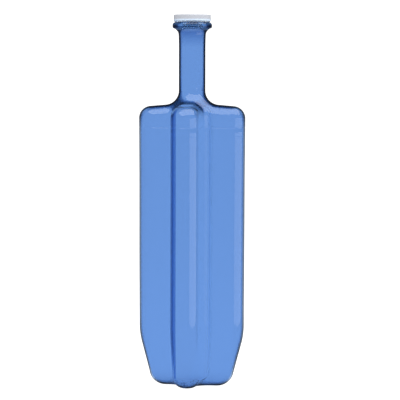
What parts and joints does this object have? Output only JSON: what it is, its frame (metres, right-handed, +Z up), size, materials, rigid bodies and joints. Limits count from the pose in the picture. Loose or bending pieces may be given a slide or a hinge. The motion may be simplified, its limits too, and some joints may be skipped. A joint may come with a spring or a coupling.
{
  "type": "lobed glass bottle with stopper",
  "caption": "Tall lobed blue glass bottle with a slim neck, a beaded mouth and a flat-headed white push-in stopper with sealing rings.",
  "frame": {"origin": "centre of the resting plane under the bottle", "axes": "+Z up along the bottle's axis towards the mouth; one lobe points to each of -Y (front), +X, +Y and -X"},
  "size_m": [0.0882, 0.0882, 0.304],
  "materials": {
    "blue_glass": "clear mid-blue glass, glossy",
    "white_plastic": "white moulded plastic, satin",
    "clear_polymer": "pale translucent soft polymer"
  },
  "bodies": {
    "glass": {"bottle": "blue_glass"},
    "stopper": {"stopper_cap": "white_plastic", "stopper_plug": "clear_polymer", "mouth_washer": "clear_polymer", "plug_seal_ring": "clear_polymer"}
  },
  "joints": [
    {"name": "stopper_pull", "type": "slide", "parent": "glass", "child": "stopper", "axis": [0, 0, 1], "range_m": [0, 0.025]}
  ]
}
